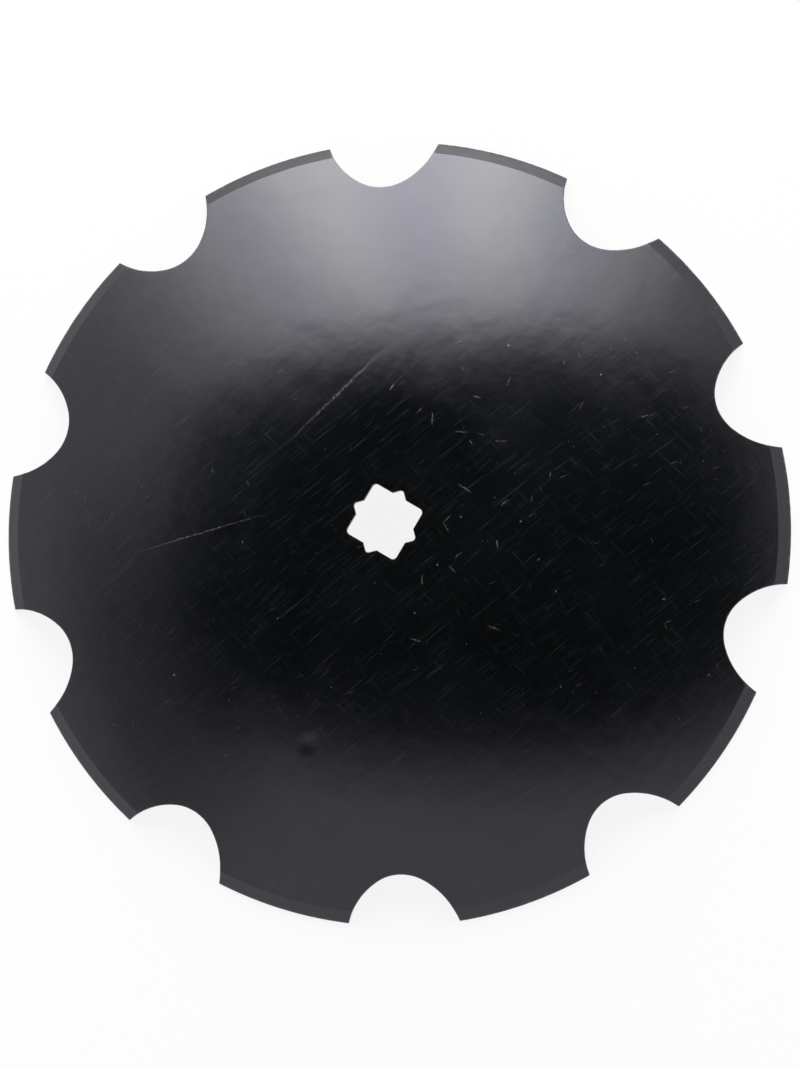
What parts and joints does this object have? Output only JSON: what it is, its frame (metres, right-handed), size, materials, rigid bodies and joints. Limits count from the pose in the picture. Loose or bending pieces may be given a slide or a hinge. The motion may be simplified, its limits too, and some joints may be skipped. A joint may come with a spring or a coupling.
{
  "type": "disc blade",
  "caption": "Dished round steel blade for a disc harrow, with a flat centre, a square-on-square axle hole, a ground bevel and rounded notches round the rim.",
  "frame": {"origin": "on the axle's axis, in the plane that the rim rests on when the blade lies hollow side down", "axes": "+Z along the axle, towards the convex side; +X square to a side of the wide square of the axle hole"},
  "size_m": [0.456, 0.4572, 0.053],
  "materials": {
    "black_paint": "semi-gloss black shop paint over rolled plate, with light handling scratches"
  },
  "bodies": {
    "root": {"disc_blade": "black_paint"}
  },
  "joints": []
}
